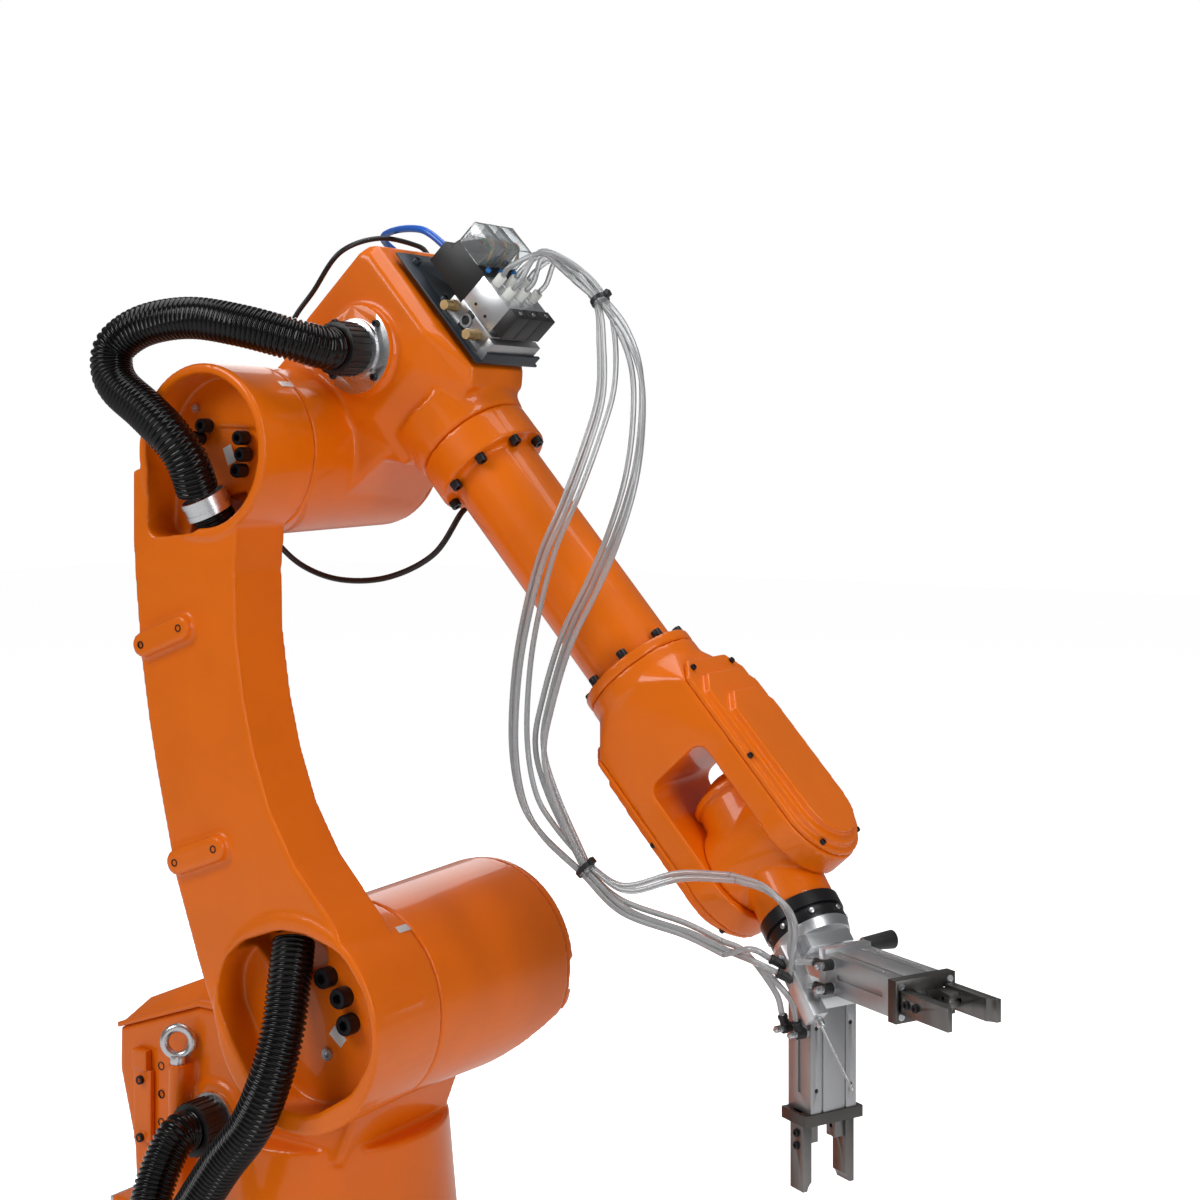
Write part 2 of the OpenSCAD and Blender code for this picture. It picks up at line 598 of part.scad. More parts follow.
// One jaw: a carriage that slides in the end plate's slot, and its finger.
module gripper_jaw(side, hand) at_gripper(side) mirror([0, hand < 0 ? 1 : 0, 0]) color("gray") {
  tip = grip_front + plate_t + finger_l;
  difference() {
    union() {
      box([grip_front + 0.5, jaw_gap / 2 - 12, -8], [grip_front + plate_t + 24, jaw_gap / 2, 8]);
      box([grip_front + plate_t + 2, jaw_gap / 2, -12], [tip, jaw_gap / 2 + finger_t, 12]);
    }
    for (x = [12, 26]) translate([grip_front + plate_t + x, 0, 0]) y_cyl(0, 60, 2.6);
    translate([tip + 2, jaw_gap / 2 - 8, 0]) z_cyl(-13, 13, 14);
  }
}
module gripper_1_body() gripper_body(-1);
module gripper_1_jaw_a() gripper_jaw(-1, -1);
module gripper_1_jaw_b() gripper_jaw(-1, 1);
module gripper_2_body() gripper_body(1);
module gripper_2_jaw_a() gripper_jaw(1, -1);
module gripper_2_jaw_b() gripper_jaw(1, 1);
module flow_valves() for (s = [-1, 1]) at_gripper(s) for (z = [-13, 13]) {
  translate([s < 0 ? 62 : 75, -grip_w / 2 - 0.05, z]) rotate([90, 0, 0]) {
    color("#202020") z_cyl(0, 14, 6.5);
    color("silver") z_cyl(14, 26, 3.5);
  }
}

// ---- Pneumatic tubes, as bundles ----
module forearm_tubes() color([0.9, 0.9, 0.9, 0.5]) hose(forearm_tube_route, 22, 8);
module wrist_tubes() color([0.9, 0.9, 0.9, 0.5]) {
  hose(wrist_tube_upper, tube_bundle_d, 8);
  hose(wrist_tube_lower, tube_bundle_d, 8);
}
module tool_tubes() color([0.9, 0.9, 0.9, 0.5]) {
  hose(tool_tube_upper, tube_bundle_d, 8);
  hose(tool_tube_lower, tube_bundle_d, 8);
}

base_casting();
foundation_bolts();
connector_panel();
panel_connectors();
j1_reducer();
slewing_bearing();
turret_casting();
turret_lid();
turret_side_plate();
lifting_eye();
turret_gland();
j1_motor();
j2_motor();
j2_reducer();
shoulder_end_cap();
lower_conduit();
upper_arm();
arm_bolts();
grease_plugs();
arm_conduit();
conduit_clamp();
upper_conduit();
elbow_casting();
elbow_gland();
j3_reducer();
j3_motor();
j4_motor();
elbow_end_cap();
valve_bracket();
valve_manifold();
brass_silencers();
valve_bodies();
valve_coils();
terminal_covers();
override_button_1();
override_button_2();
override_button_3();
hose_and_cables();
forearm_tube();
forearm_bolts();
wrist_fork();
fork_covers();
wrist_motors();
wrist_belts();
wrist_casting();
wrist_flange();
tool_flange();
tool_bracket();
clamp_handle();
blow_bar();
gripper_1_body();
gripper_1_jaw_a();
gripper_1_jaw_b();
gripper_2_body();
gripper_2_jaw_a();
gripper_2_jaw_b();
flow_valves();
forearm_tubes();
wrist_tubes();
tool_tubes();
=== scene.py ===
"""Looks of the six-axis robot arm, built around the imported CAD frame. Metres, +Z up."""
import json
import math

import bmesh
import bpy
from mathutils import Matrix, Vector

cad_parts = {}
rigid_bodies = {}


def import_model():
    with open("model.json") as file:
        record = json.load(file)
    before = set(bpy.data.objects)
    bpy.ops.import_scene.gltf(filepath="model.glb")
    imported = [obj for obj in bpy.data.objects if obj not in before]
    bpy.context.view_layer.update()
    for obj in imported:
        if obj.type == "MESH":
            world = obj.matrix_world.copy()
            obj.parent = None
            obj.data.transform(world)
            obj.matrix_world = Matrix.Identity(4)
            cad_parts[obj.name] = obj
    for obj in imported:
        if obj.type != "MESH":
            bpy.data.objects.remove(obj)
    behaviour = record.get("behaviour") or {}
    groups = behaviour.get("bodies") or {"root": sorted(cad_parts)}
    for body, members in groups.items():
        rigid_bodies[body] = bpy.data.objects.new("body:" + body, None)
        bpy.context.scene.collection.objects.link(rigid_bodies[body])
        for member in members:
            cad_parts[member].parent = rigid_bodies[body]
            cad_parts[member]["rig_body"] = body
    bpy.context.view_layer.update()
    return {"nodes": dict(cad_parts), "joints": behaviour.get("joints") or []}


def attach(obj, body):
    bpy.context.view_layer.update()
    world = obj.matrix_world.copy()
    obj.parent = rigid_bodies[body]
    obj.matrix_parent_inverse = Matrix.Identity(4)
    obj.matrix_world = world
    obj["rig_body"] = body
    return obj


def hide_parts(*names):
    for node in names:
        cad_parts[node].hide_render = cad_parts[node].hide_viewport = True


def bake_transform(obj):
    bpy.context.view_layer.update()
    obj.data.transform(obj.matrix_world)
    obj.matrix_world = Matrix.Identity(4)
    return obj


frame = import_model()
MM = 0.001

# ---- Camera ----
CAMERA_AT = (1.7578, -1.9866, 1.1659)
CAMERA_TURN = math.radians(33.5)
CAMERA_LENS = 57
CAMERA_SHIFT_Y = -0.12


def add_camera():
    camera = bpy.data.objects.new("camera", bpy.data.cameras.new("camera"))
    bpy.context.scene.collection.objects.link(camera)
    camera.location = CAMERA_AT
    camera.rotation_euler = (math.pi / 2, 0, CAMERA_TURN)
    camera.data.lens = CAMERA_LENS
    camera.data.sensor_width = 36
    camera.data.shift_y = CAMERA_SHIFT_Y
    camera.data.clip_end = 60
    bpy.context.scene.camera = camera


add_camera()

# ---- Frames, from the joints ----
JOINTS = {j["name"]: j for j in frame["joints"]}


def axes(origin, x, y):
    """A frame with its x and y axes along two directions."""
    x = Vector(x).normalized()
    z = x.cross(Vector(y)).normalized()
    y = z.cross(x)
    turn = Matrix((x, y, z)).transposed().to_4x4()
    return Matrix.Translation(Vector(origin)) @ turn


ROW = Matrix.Identity(4)
SHOULDER = Vector(JOINTS["j2_shoulder"]["pos_m"])
ELBOW = Vector(JOINTS["j3_elbow"]["pos_m"])
ARM_LENGTH = (ELBOW - SHOULDER).length
ARM_UP = (ELBOW - SHOULDER).normalized()
ARM = axes(SHOULDER, Vector((0, 1, 0)).cross(ARM_UP), (0, 1, 0))
FOREARM = axes(JOINTS["j4_forearm_roll"]["pos_m"], JOINTS["j4_forearm_roll"]["axis"], (0, 1, 0))
TOOL = axes(JOINTS["j6_flange_turn"]["pos_m"], JOINTS["j6_flange_turn"]["axis"],
            JOINTS["clamp_handle_turn"]["axis"])
GRIP_CROSS = 0.150


def gripper_frame(side):
    return TOOL @ Matrix.Translation((GRIP_CROSS, 0, 0)) @ Matrix.Rotation(math.radians(45 * side), 4, "Y")


def turned(angle, axis):
    return Matrix.Rotation(math.radians(angle), 4, axis)


# ---- Materials ----
def material(name, color, metallic=0.0, roughness=0.4, spread=0.1, grain=300, bump=0.05, tint=0.06, coat=0.0,
             coat_roughness=0.05, stretch=(1, 1, 1), clear=0.0, ior=1.5):
    """A surface with fine noise in colour, roughness and height. Constant sockets are set directly."""
    mat = bpy.data.materials.new(name)
    mat.use_nodes = True
    nodes, links = mat.node_tree.nodes, mat.node_tree.links
    shader = nodes["Principled BSDF"]
    shader.inputs["Metallic"].default_value = metallic
    shader.inputs["IOR"].default_value = ior
    shader.inputs["Coat Weight"].default_value = coat
    shader.inputs["Coat Roughness"].default_value = coat_roughness
    shader.inputs["Transmission Weight"].default_value = clear
    place = nodes.new("ShaderNodeTexCoord")
    scale = nodes.new("ShaderNodeMapping")
    scale.inputs["Scale"].default_value = stretch
    links.new(place.outputs["Object"], scale.inputs["Vector"])
    fine = nodes.new("ShaderNodeTexNoise")
    fine.inputs["Scale"].default_value = grain
    fine.inputs["Detail"].default_value = 5
    broad = nodes.new("ShaderNodeTexNoise")
    broad.inputs["Scale"].default_value = 9
    broad.inputs["Detail"].default_value = 4
    for noise in (fine, broad):
        links.new(scale.outputs["Vector"], noise.inputs["Vector"])
    shade = nodes.new("ShaderNodeValToRGB")
    shade.color_ramp.elements[0].position = 0.3
    shade.color_ramp.elements[1].position = 0.72
    shade.color_ramp.elements[0].color = [c * (1 - tint) for c in color] + [1]
    shade.color_ramp.elements[1].color = [min(1, c * (1 + tint)) for c in color] + [1]
    links.new(broad.outputs["Fac"], shade.inputs["Fac"])
    links.new(shade.outputs["Color"], shader.inputs["Base Color"])
    gloss = nodes.new("ShaderNodeMapRange")
    gloss.inputs["To Min"].default_value = max(0.02, roughness - spread)
    gloss.inputs["To Max"].default_value = roughness + spread
    links.new(fine.outputs["Fac"], gloss.inputs["Value"])
    links.new(gloss.outputs["Result"], shader.inputs["Roughness"])
    height = nodes.new("ShaderNodeBump")
    height.inputs["Strength"].default_value = bump
    height.inputs["Distance"].default_value = 0.0006
    links.new(fine.outputs["Fac"], height.inputs["Height"])
    links.new(height.outputs["Normal"], shader.inputs["Normal"])
    return mat


PAINT = material("orange_paint", (0.82, 0.158, 0.0003), roughness=0.36, spread=0.06, grain=150, bump=0.05,
                 tint=0.06,
                 coat=0.4, coat_roughness=0.05)
PAINT.node_tree.nodes["Principled BSDF"].inputs["Specular IOR Level"].default_value = 0.22
# Black oxide of the screws; the hole insets use the same black as a painted shade inside the holes.
BLACK_OXIDE_AND_HOLE_SHADE = material("black_oxide", (0.018, 0.018, 0.021), metallic=0.5, roughness=0.36, grain=900,
                       bump=0.1)
BLACK_STEEL = material("black_anodised", (0.012, 0.012, 0.014), metallic=0.35, roughness=0.34, grain=700,
                       bump=0.06)
ZINC = material("zinc_steel", (0.62, 0.63, 0.65), metallic=1, roughness=0.30, spread=0.12, grain=500,
                tint=0.12)
MOTOR = material("motor_grey", (0.10, 0.105, 0.11), metallic=0.2, roughness=0.5, grain=600)
CAST_IRON = material("cast_iron", (0.22, 0.22, 0.23), metallic=0.9, roughness=0.5, grain=800, bump=0.2)
BEARING = material("bearing_steel", (0.55, 0.56, 0.58), metallic=1, roughness=0.2, grain=900)
CONDUIT = material("conduit_plastic", (0.003, 0.003, 0.0035), roughness=0.16, spread=0.04, grain=300,
                   bump=0.02,
                   ior=1.36)
RUBBER = material("cable_jacket", (0.012, 0.012, 0.013), roughness=0.42, grain=800, bump=0.08)
BRACKET = material("bracket_paint", (0.022, 0.032, 0.044), metallic=0.2, roughness=0.38, grain=420, bump=0.15)
MACHINED = material("machined_aluminium", (0.72, 0.73, 0.75), metallic=1, roughness=0.33, spread=0.06,
                    grain=220,
                    tint=0.06, bump=0.02, stretch=(1, 1, 7))
ANODISED = material("anodised_aluminium", (0.44, 0.445, 0.455), metallic=0.9, roughness=0.40, spread=0.08,
                    grain=900,
                    tint=0.08, bump=0.06)
BRASS = material("sintered_brass", (0.60, 0.42, 0.20), metallic=0.9, roughness=0.42, grain=1500, bump=0.6,
                 tint=0.2)
CLEAR_COVER = material("clear_cover", (0.80, 0.83, 0.84), roughness=0.06, spread=0.03, clear=0.88, ior=1.45,
                       bump=0.02,
                       coat=0.5)
CLEAR_TUBE = material("clear_tube", (0.62, 0.63, 0.64), roughness=0.10, spread=0.04, clear=0.60, ior=1.42,
                      bump=0.02,
                      coat=0.6)
BLACK_PLASTIC = material("black_plastic", (0.008, 0.008, 0.009), roughness=0.45, grain=1100, bump=0.18)
WHITE_PLASTIC = material("white_plastic", (0.80, 0.80, 0.76), roughness=0.38, grain=900, bump=0.05)
BLUE_PLASTIC = material("blue_plastic", (0.02, 0.20, 0.62), roughness=0.33, grain=900, bump=0.05)
BLUE_HOSE = material("blue_hose", (0.015, 0.13, 0.62), roughness=0.30, grain=700, bump=0.04, coat=0.2)
TOOL_STEEL = material("tool_steel", (0.20, 0.195, 0.19), metallic=1, roughness=0.34, spread=0.12, grain=340,
                      tint=0.2,
                      bump=0.12, stretch=(6, 1, 1))
PLATE_STEEL = material("plate_steel", (0.10, 0.095, 0.09), metallic=0.9, roughness=0.36, grain=500,
                       tint=0.15, bump=0.1)
BELT = material("belt_rubber", (0.02, 0.02, 0.02), roughness=0.7, grain=900, bump=0.2)
LABEL = material("foil_label", (0.72, 0.72, 0.71), metallic=0.4, roughness=0.4, grain=1200, bump=0.02)
WIRE = {name: material("wire_" + name, color, roughness=0.4, grain=900)
        for name, color in (("green", (0.02, 0.32, 0.16)), ("red", (0.55, 0.02, 0.02)),
                            ("yellow", (0.75, 0.45, 0.02)))}


# ---- Mesh tools ----
def piece(name, verts, faces, mat, body=None, smooth=True, at=ROW):
    """A new mesh piece, given in the frame at."""
    mesh = bpy.data.meshes.new(name)
    mesh.from_pydata([at @ Vector(v) for v in verts], [], faces)
    mesh.validate()
    tidy = bmesh.new()
    tidy.from_mesh(mesh)
    bmesh.ops.recalc_face_normals(tidy, faces=tidy.faces)
    tidy.to_mesh(mesh)
    tidy.free()
    obj = bpy.data.objects.new(name, mesh)
    bpy.context.scene.collection.objects.link(obj)
    obj.data.materials.append(mat)
    for face in mesh.polygons:
        face.use_smooth = smooth
    if body:
        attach(obj, body)
    return obj


def modify(obj, kind, **settings):
    """Adds a modifier and applies it."""
    modifier = obj.modifiers.new(kind, kind)
    for key, value in settings.items():
        setattr(modifier, key, value)
    graph = bpy.context.evaluated_depsgraph_get()
    mesh = bpy.data.meshes.new_from_object(obj.evaluated_get(graph))
    obj.modifiers.clear()
    old = obj.data
    obj.data = mesh
    bpy.data.meshes.remove(old)


def set_smooth(obj, angle=None):
    """Smooth shading, with edges sharper than angle kept sharp."""
    work = bmesh.new()
    work.from_mesh(obj.data)
    for face in work.faces:
        face.smooth = True
    if angle is not None:
        limit = math.radians(angle)
        for edge in work.edges:
            edge.smooth = len(edge.link_faces) == 2 and edge.calc_face_angle(0) < limit
    work.to_mesh(obj.data)
    work.free()


def copy_node(node, name, mat):
    """A piece with a copy of a CAD node's mesh, which then stands for that node."""
    source = frame["nodes"][node]
    obj = bpy.data.objects.new(name, source.data.copy())
    bpy.context.scene.collection.objects.link(obj)
    work = bmesh.new()
    work.from_mesh(obj.data)
    bmesh.ops.remove_doubles(work, verts=work.verts, dist=1e-6)
    work.to_mesh(obj.data)
    work.free()
    obj.data.materials.clear()
    obj.data.materials.append(mat)
    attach(obj, source["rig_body"])
    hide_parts(node)
    return obj


def smooth_path(points, step):
    """Points along a smooth curve through the route's points, about step apart."""
    p = [Vector(q) for q in points]
    p = [p[0] * 2 - p[1]] + p + [p[-1] * 2 - p[-2]]
    dense = []
    for i in range(1, len(p) - 2):
        a, b, c, d = p[i - 1:i + 3]
        for k in range(24):
            t = k / 24
            dense.append(0.5 * (2 * b + (c - a) * t + (2 * a - 5 * b + 4 * c - d) * t * t
                                + (3 * b - a - 3 * c + d) * t ** 3))
    dense.append(p[-2])
    lengths = [0.0]
    for a, b in zip(dense, dense[1:]):
        lengths.append(lengths[-1] + (b - a).length)
    count = max(3, round(lengths[-1] / step))
    path, j = [], 0
    for k in range(count + 1):
        target = lengths[-1] * k / count
        while j < len(lengths) - 2 and lengths[j + 1] < target:
            j += 1
        share = (target - lengths[j]) / max(1e-9, lengths[j + 1] - lengths[j])
        path.append(dense[j].lerp(dense[j + 1], min(1, share)))
    return path


def sweep(name, path, radii, sides, mat, body=None):
    """A tube along a path with a radius at each point, closed at both ends."""
    verts, faces = [], []
    tangent = (path[1] - path[0]).normalized()
    across = tangent.orthogonal().normalized()
    for i, point in enumerate(path):
        tangent = (path[min(i + 1, len(path) - 1)] - path[max(i - 1, 0)]).normalized()
        across = (across - tangent * across.dot(tangent)).normalized()
        other = tangent.cross(across)
        for k in range(sides):
            a = 2 * math.pi * k / sides
            verts.append(point + radii[i] * (across * math.cos(a) + other * math.sin(a)))
    for i in range(len(path) - 1):
        for k in range(sides):
            m = (k + 1) % sides
            faces.append((i * sides + k, i * sides + m, (i + 1) * sides + m, (i + 1) * sides + k))
    last = (len(path) - 1) * sides
    faces.append(tuple(reversed(range(sides))))
    faces.append(tuple(last + k for k in range(sides)))
    obj = piece(name, verts, faces, mat, body)
    for face in obj.data.polygons[-2:]:
        face.use_smooth = False
    return obj


def lathe(name, profile, mat, body, at, sides=64, smooth_angle=35):
    """A solid turned about the x axis of the frame at. profile is a closed loop of (x, radius) points."""
    verts, faces = [], []
    for k in range(sides):
        a = 2 * math.pi * k / sides
        verts += [(x, r * math.cos(a), r * math.sin(a)) for x, r in profile]
    n = len(profile)
    for k in range(sides):
        m = (k + 1) % sides
        for i in range(n):
            j = (i + 1) % n
            faces.append((k * n + i, k * n + j, m * n + j, m * n + i))
    obj = piece(name, verts, faces, mat, body, at=at)
    work = bmesh.new()
    work.from_mesh(obj.data)
    bmesh.ops.remove_doubles(work, verts=work.verts, dist=1e-6)
    bmesh.ops.recalc_face_normals(work, faces=work.faces)
    work.to_mesh(obj.data)
    work.free()
    set_smooth(obj, smooth_angle)
    return obj


def solid_profile(*points):
    """Closes an outline of (x, radius) points down to the axis."""
    return [(points[0][0], 0.0)] + list(points) + [(points[-1][0], 0.0)]


def blocks(name, boxes, mat, body, at=ROW, bevel=0.0008):
    """One piece of rounded blocks, each given by its two corners."""
    work = bmesh.new()
    for low, high in boxes:
        made = bmesh.ops.create_cube(work, size=1)["verts"]
        size = Vector(high) - Vector(low)
        for v in made:
            v.co = Vector(low) + Vector((v.co[i] + 0.5) * size[i] for i in range(3))
    bmesh.ops.bevel(work, geom=list(work.edges), offset=bevel, segments=2, affect="EDGES", profile=0.6)
    work.transform(at)
    mesh = bpy.data.meshes.new(name)
    work.to_mesh(mesh)
    work.free()
    obj = bpy.data.objects.new(name, mesh)
    bpy.context.scene.collection.objects.link(obj)
    mesh.materials.append(mat)
    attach(obj, body)
    set_smooth(obj, 40)
    return obj


def screws(name, places, r, h, mat, body):
    """Socket head screws: a chamfered head with a hexagon socket, along x of each place."""
    verts, faces = [], []
    sides = 24
    rings = [(0, r), (h * 0.88, r), (h, r * 0.9), (h, r * 0.56)]
    for at in places:
        base = len(verts)
        for x, radius in rings:
            for k in range(sides):
                a = 2 * math.pi * k / sides
                verts.append(at @ Vector((x, radius * math.cos(a), radius * math.sin(a))))
        for x in (h, h * 0.45):
            for k in range(sides):
                a = 2 * math.pi * k / sides
                corner = (a + math.pi / 6) % (math.pi / 3) - math.pi / 6
                radius = r * 0.46 / math.cos(corner)
                verts.append(at @ Vector((x, radius * math.cos(a), radius * math.sin(a))))
        for i in range(len(rings) + 1):
            for k in range(sides):
                m = (k + 1) % sides
                faces.append((base + i * sides + k, base + i * sides + m,
                              base + (i + 1) * sides + m, base + (i + 1) * sides + k))
        floor = base + (len(rings) + 1) * sides
        faces.append(tuple(floor + k for k in range(sides)))
        faces.append(tuple(base + k for k in reversed(range(sides))))
    obj = piece(name, verts, faces, mat, body)
    set_smooth(obj, 35)
    return obj


def around(at, x, radius, angles, outwards=1):
    """Places for screws on a circle about the x axis of a frame, heads pointing along +x or -x."""
    flip = ROW if outwards > 0 else turned(180, "Z")
    return [at @ turned(a, "X") @ Matrix.Translation((x, 0, radius)) @ flip for a in angles]


# ---- Cords: conduits, hoses, cables and air tubes ----
CONDUIT_D = 0.0545
RIB_PITCH = 0.0066
RIB_DEPTH = 0.0032
LOWER_ROUTE = [(-97, -176.2, 266), (-97, -198, 266), (-97, -222, 240), (-93, -246, 204), (-80, -268, 168),
               (-52, -284, 150), (-16, -290, 166), (20, -290, 218), (74, -290, 290), (122, -289, 347),
               (149, -284, 405), (156, -268, 464), (147, -246, 520), (132, -222, 560)]
UPPER_ROUTE = [(132, -152, 1304), (132, -174, 1304), (112, -208, 1314), (54, -236, 1331), (-15, -255, 1342),
               (-79, -272, 1334), (-118, -284, 1310), (-122, -289, 1281), (-104, -291, 1254),
               (-58, -291, 1224),
               (-18, -288, 1192), (-2, -272, 1158), (-4, -253, 1123)]
ARM_ROUTE = [(-12, -215, 112), (-24, -213, 180), (-56, -213, 270), (-80, -213, 400), (-74, -213, 520),
             (-45, -213, 596), (-33, -214, 624), (-25, -236, 654)]
AIR_HOSE_ROUTE = [(86, 95.5, 1380), (84, 110, 1386), (52, 92, 1440), (54, 44, 1466), (106, 8, 1472),
                  (170, -16, 1466), (206, -20, 1446), (218, -20, 1432)]
SIGNAL_ROUTE = [(-20, -70, 1296), (-30, -70, 1318), (-8, -66, 1356), (18, -60, 1388), (66, -60, 1438),
                (92, -10, 1460), (110, 50, 1454), (121, 60, 1441)]
BRAKE_ROUTE = [(-77, -40, 1097), (-84, -40, 1080), (-70, -40, 1050), (-20, -40, 1016), (50, -40, 999),
               (130, -36, 1005), (190, -16, 1036), (214, 10, 1088), (212, 40, 1112), (181, 45, 1147)]
# The air tubes fan out into two branches between their two ties, and into two again after the second.
TUBE_D = 0.007
TUBE_START = [(346, -10, 1412), (390, -12, 1403), (456, -20, 1359)]
BRANCH_LEFT = [(473, -30, 1309), (481, -44, 1246), (475, -66, 1185), (460, -92, 1112), (438, -106, 1052),
               (420, -114, 979), (408, -118, 906), (405, -120, 821), (418, -120, 756), (447, -119, 717)]
BRANCH_RIGHT = [(496, -32, 1317), (527, -48, 1267), (542, -68, 1206), (543, -86, 1137), (525, -98, 1066),
                (499, -106, 1006), (467, -110, 945), (442, -112, 872), (431, -114, 811), (451, -116, 753)]
TIE_TWO = (500, -118, 676)
WRIST_UPPER = [(508, -119, 670), (554, -125, 656), (620, -112, 676), (686, -105, 681)]
WRIST_LOWER = [(508, -119, 666), (559, -122, 642), (640, -115, 625), (686, -106, 608)]
TOOL_UPPER = [(690, -105, 681), (732, -105, 672), (766, -113, 645), (797, -126, 612)]


def metres(route, at=ROW):
    return [at @ (Vector(p) * MM) for p in route]


def conduit(name, points):
    """A corrugated conduit: each ring rises, stays and falls, with a valley between."""
    path = smooth_path(points, RIB_PITCH / 6)
    shape = (0.0, 0.15, 0.85, 1.0, 1.0, 0.6)
    radii = [CONDUIT_D / 2 - RIB_DEPTH * (1 - shape[i % 6]) for i in range(len(path))]
    obj = sweep(name, path, radii, 36, CONDUIT)
    return obj, path


def add_conduits():
    lower, path = conduit("lower_conduit_ribs", metres(LOWER_ROUTE))
    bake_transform(lower)
    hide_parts("lower_conduit")
    upper, path = conduit("upper_conduit_ribs", metres(UPPER_ROUTE))
    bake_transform(upper)
    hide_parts("upper_conduit")
    arm, path = conduit("arm_conduit_ribs", metres(ARM_ROUTE, ARM_XYZ))
    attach(arm, "upper_arm")
    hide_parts("arm_conduit")


def add_cables():
    for name, route, d, mat in (("air_supply_hose", AIR_HOSE_ROUTE, 0.010, BLUE_HOSE),
                                ("signal_cable", SIGNAL_ROUTE, 0.007, RUBBER),
                                ("brake_cable", BRAKE_ROUTE, 0.008, RUBBER)):
        path = smooth_path(metres(route), 0.004)
        obj = sweep(name, path, [d / 2] * len(path), 16, mat, "elbow")
        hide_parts("hose_and_cables")


def fan(k, spread):
    """The place of tube k of six in its bundle, as a small offset."""
    a = 2 * math.pi * k / 6 + 0.4
    return Vector((math.cos(a) * spread, math.sin(a) * spread * 0.5, math.sin(a) * spread * 0.8))


def tube(name, points, replaces):
    """One stretch of an air tube, curving between two bodies."""
    path = smooth_path(points, 0.004)
    obj = sweep(name, path, [TUBE_D / 2] * len(path), 12, CLEAR_TUBE)
    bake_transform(obj)
    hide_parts(replaces)
    return path[-1]


def add_air_tubes():
    """Six tubes, from the fittings on the valves to the grippers and the blow bar."""
    fittings = [FOREARM @ Vector((x, -0.0345 + i * 0.028, 0.196)) for i in range(3) for x in (0.042, 0.066)]
    tie_one, tie_two = Vector(TUBE_START[-1]) * MM, Vector(TIE_TWO) * MM
    rise = FOREARM.to_3x3() @ Vector((0, 0, 1))
    for k, fitting in enumerate(fittings):
        branch = BRANCH_LEFT if k in (0, 3, 4) else BRANCH_RIGHT
        top = Vector((0.366, fitting.y * 0.6, 1.421)) + fan(k, 0.006)
        points = [fitting, fitting + rise * 0.016, top,
                  Vector(TUBE_START[1]) * MM + Vector((0.024, 0, -0.008)) + fan(k, 0.009),
                  tie_one + fan(k, 0.007)]
        points += [p + fan(k, 0.011) for p in metres(branch)]
        points.append(tie_two + fan(k, 0.007))
        end = tube("forearm_tube_%d" % (k + 1), points, "forearm_tubes")
        upper = k < 2
        route = metres(WRIST_UPPER if upper else WRIST_LOWER)
        sway = fan(k, 0.010)
        points = [end] + [p + sway for p in route[1:]]
        end = tube("wrist_tube_%d" % (k + 1), points, "wrist_tubes")
        at, pull = tube_socket(k)
        last = at + pull * 0.016
        mids = [p + sway for p in metres(TOOL_UPPER)[1:-1]] if upper else []
        if k in (2, 3):
            mids = [end.lerp(last + pull * 0.05, 0.5) + Vector((0, 0, 0.006))]
        points = [end] + mids + [last + pull * (0.03 if k < 4 else 0.024), last]
        tube("tool_tube_%d" % (k + 1), points, "tool_tubes")


def tube_socket(k):
    """Where tube k ends on the tool, and the direction in which it leaves there."""
    if k >= 4:
        return TOOL @ Vector((0.152 + 0.018 * (k - 4), -0.0590, 0.006)), TOOL.to_3x3() @ Vector((-0.62,
                                                                                                 -0.78, 0))
    side = -1 if k < 2 else 1
    grip = gripper_frame(side)
    x = 0.062 if side < 0 else 0.075
    pull = grip.to_3x3() @ Vector((-0.94, -0.34, 0))
    return grip @ Vector((x, -0.032 - 0.009, (-0.013, 0.013)[k % 2])), pull


def add_ties():
    """A black cable tie round the air tubes at two places."""
    for name, center, heading, body in (("tube_tie_1", TUBE_START[-1], (0.6, -0.2, -0.78), "elbow"),
                                        ("tube_tie_2", TIE_TWO, (0.75, 0, -0.65), "forearm")):
        at = axes(Vector(center) * MM, heading, (0, 1, 0))
        ring = [(-0.003, 0.0108), (0.003, 0.0108), (0.003, 0.0122), (-0.003, 0.0122)]
        lathe(name, ring, BLACK_PLASTIC, body, at, sides=32)
        blocks(name + "_head", [((-0.004, -0.004, 0.0112), (0.004, 0.004, 0.0175))], BLACK_PLASTIC, body,
               at)


# The arm frame with its third axis along the arm, as in the arm's own coordinates.
ARM_XYZ = ARM
add_conduits()
add_cables()
add_air_tubes()
add_ties()


# ---- Castings ----
def casting(node, voxel=0.0032, passes=14):
    """A cast and painted part: the CAD shape with every edge rounded, as a casting's are."""
    obj = copy_node(node, node + "_cast", PAINT)
    modify(obj, "REMESH", mode="VOXEL", voxel_size=voxel, use_smooth_shade=True)
    modify(obj, "SMOOTH", factor=0.5, iterations=passes)
    set_smooth(obj)
    obj.data.materials.clear()
    obj.data.materials.append(PAINT)
    return obj


def add_castings():
    casting("base_casting", 0.0045, 5)
    casting("turret_casting", 0.0036, 5)
    casting("turret_lid", 0.0020, 3)
    casting("upper_arm", 0.0028, 6)
    casting("elbow_casting", 0.0030, 8)
    casting("forearm_tube", 0.0024, 4)
    casting("wrist_fork", 0.0024, 6)
    casting("fork_covers", 0.0018, 5)
    casting("wrist_casting", 0.0020, 6)
    casting("shoulder_end_cap", 0.003, 4)
    casting("elbow_end_cap", 0.0026, 4)
    casting("turret_side_plate", 0.0016, 3)


add_castings()


